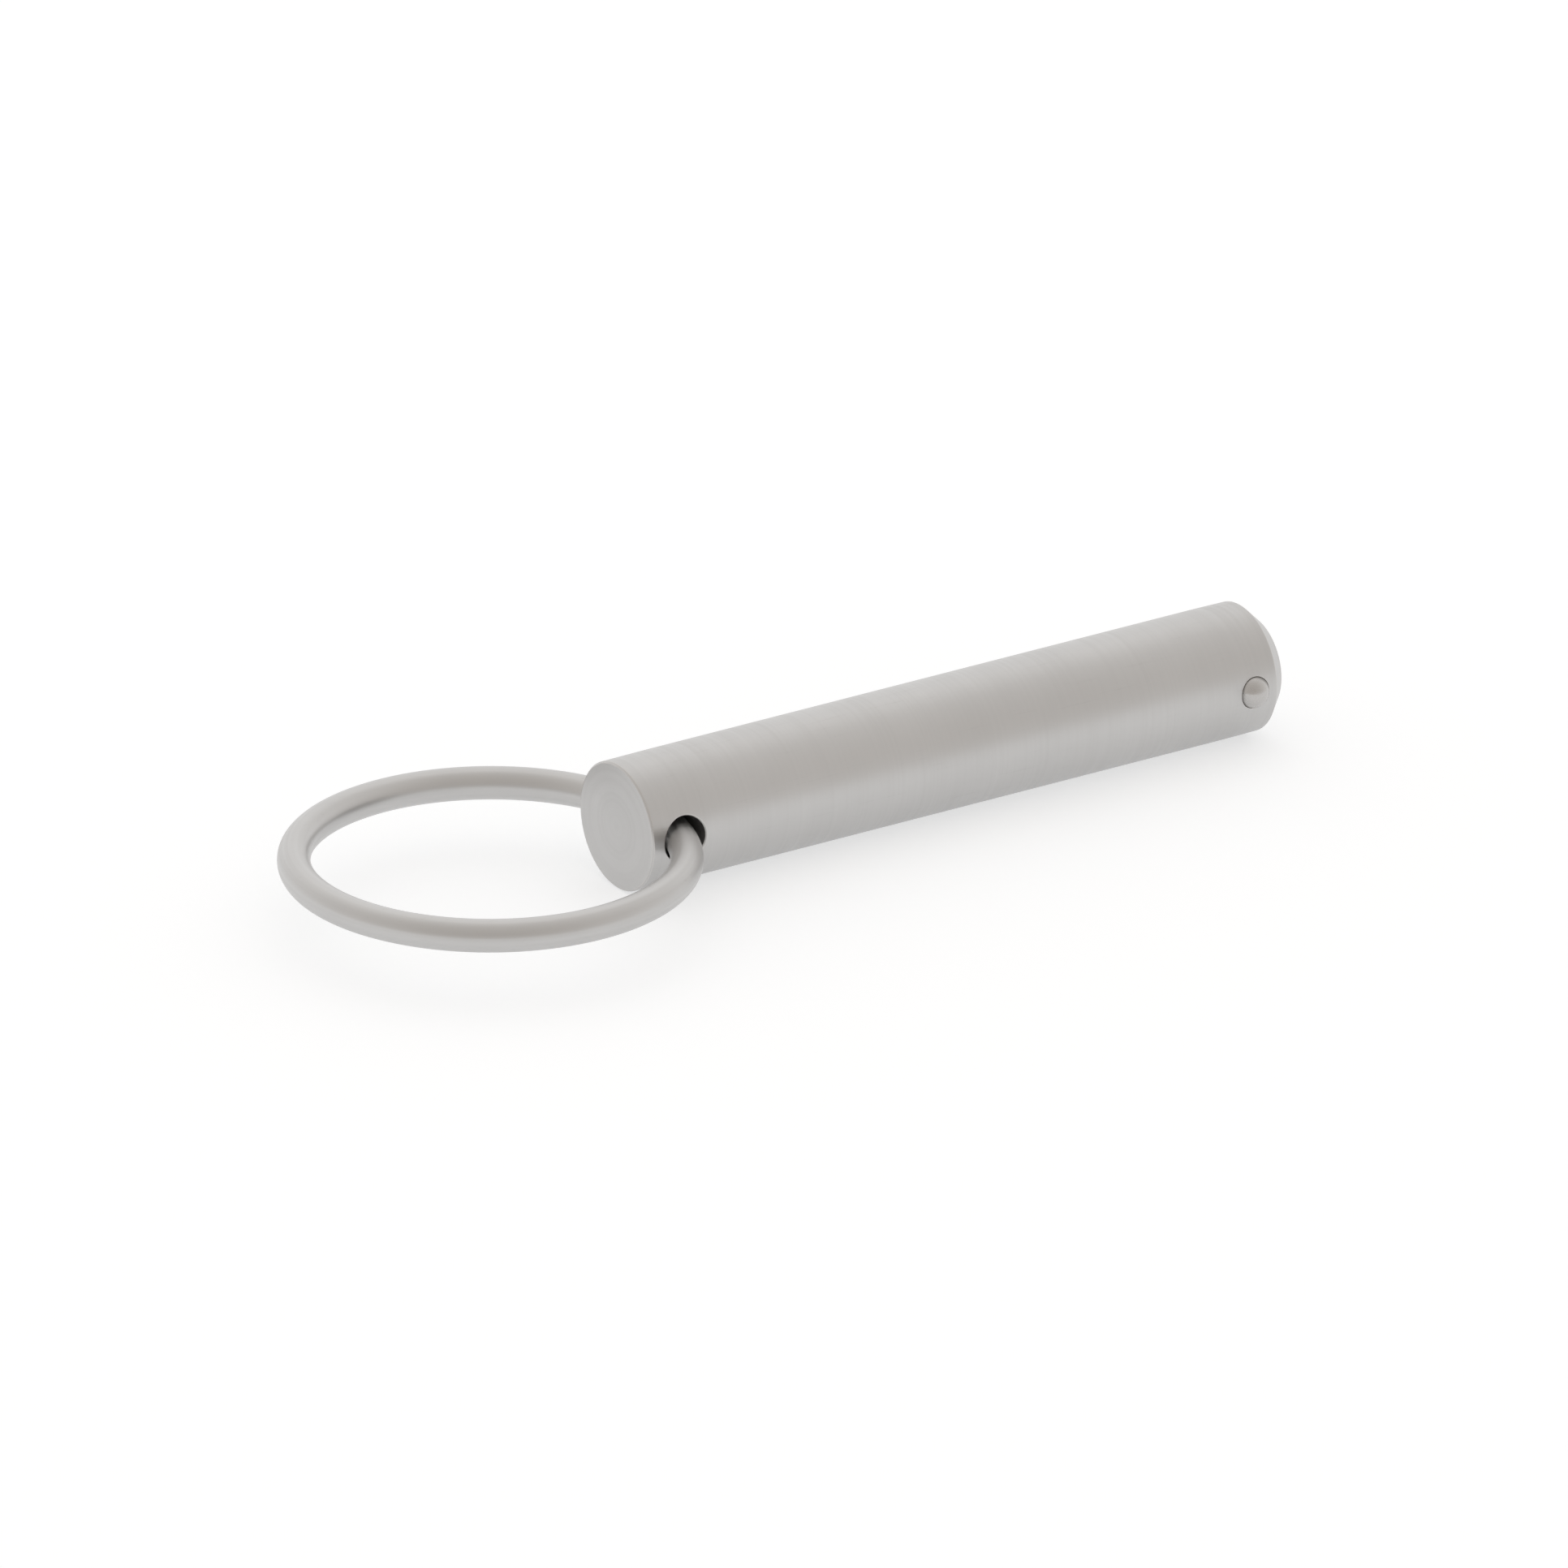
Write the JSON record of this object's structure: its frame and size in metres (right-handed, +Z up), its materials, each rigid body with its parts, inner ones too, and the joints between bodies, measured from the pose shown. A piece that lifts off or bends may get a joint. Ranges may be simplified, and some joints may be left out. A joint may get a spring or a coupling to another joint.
{
  "type": "quick release pin",
  "caption": "Plain steel quick release pin with a chamfered tip, a sprung detent ball near the tip and a wire pull ring that swings in a cross hole at the head.",
  "frame": {"origin": "on the shank's axis where the grip starts, just past the ring's hole", "axes": "+X along the shank towards its tip, +Z up with the pin lying on its side, the ring's hole and the detent along Y with the ball on -Y"},
  "size_m": [0.0801, 0.0302, 0.0096],
  "materials": {
    "shank_steel": "satin turned stainless steel",
    "ring_wire": "drawn stainless wire, satin",
    "ball_steel": "ground and polished steel ball",
    "spring_wire": "drawn spring wire"
  },
  "bodies": {
    "pin": {"shank": "shank_steel", "detent_spring": "spring_wire"},
    "ring": {"pull_ring": "ring_wire"},
    "ball": {"detent_ball": "ball_steel"}
  },
  "joints": [
    {"name": "ring_swing", "type": "hinge", "parent": "pin", "child": "ring", "pos_m": [-0.00182, 0, 0], "axis": [0, 1, 0], "range_deg": [-167, 167]},
    {"name": "ball_press", "type": "slide", "parent": "pin", "child": "ball", "axis": [0, 1, 0], "range_m": [0, 0.0008], "stiffness_N_per_m": 2900, "springref_m": -0.0009, "deforming": ["detent_spring"]}
  ]
}
